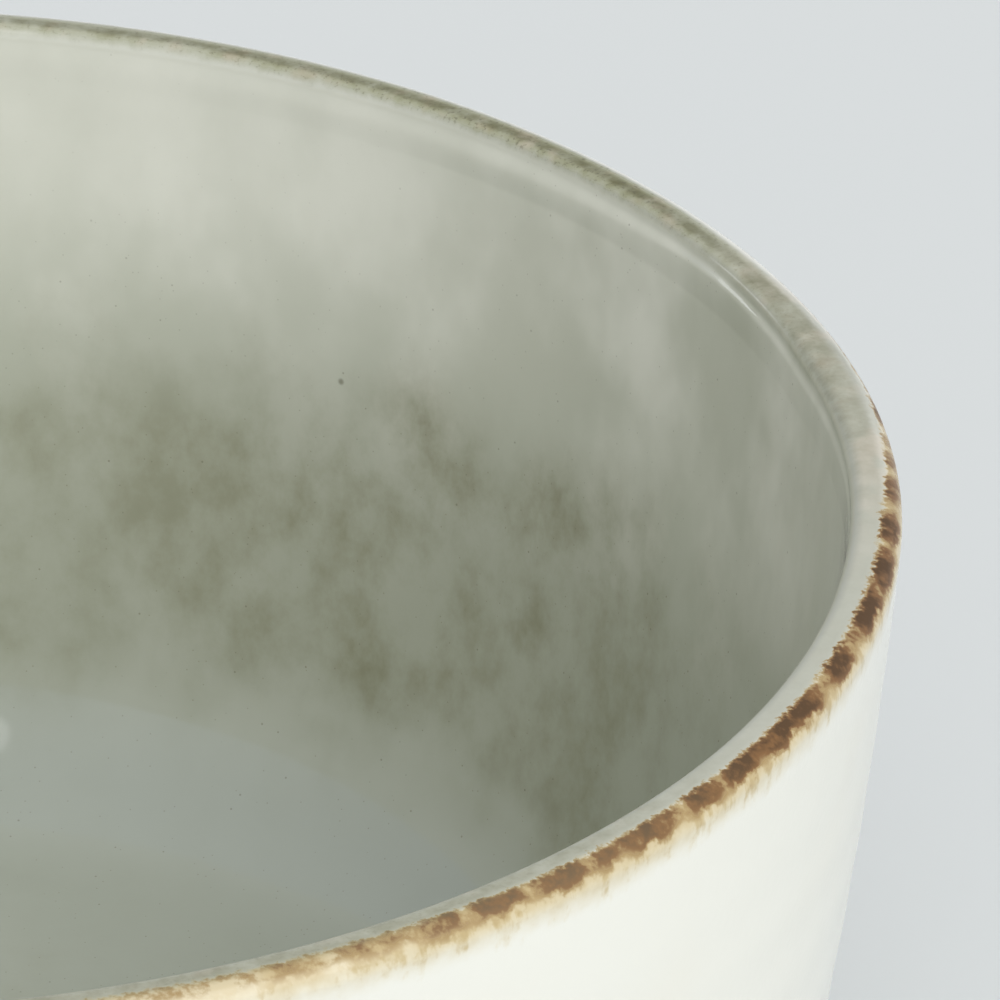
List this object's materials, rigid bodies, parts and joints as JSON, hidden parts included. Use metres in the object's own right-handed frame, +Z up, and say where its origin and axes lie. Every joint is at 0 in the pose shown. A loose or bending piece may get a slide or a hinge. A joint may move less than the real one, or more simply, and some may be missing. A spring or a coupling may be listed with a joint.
{
  "type": "latte bowl",
  "caption": "Wide handleless stoneware latte bowl with steep bowed walls, a turned foot ring, sage glaze inside, cream glaze outside and a brown-edged lip.",
  "frame": {"origin": "centre of the face that the bowl stands on", "axes": "+Z up along the bowl's axis of revolution"},
  "size_m": [0.14, 0.14, 0.068],
  "materials": {
    "stoneware_clay": "matt unglazed fired clay",
    "sage_glaze": "glossy mottled reactive glaze",
    "iron_brown_glaze": "satin glaze that breaks over the edge",
    "cream_glaze": "glossy"
  },
  "bodies": {
    "root": {"stoneware_body": "stoneware_clay", "liner_glaze": "sage_glaze", "rim_glaze": "iron_brown_glaze", "outer_glaze": "cream_glaze", "foot_well_glaze": "cream_glaze"}
  },
  "joints": []
}
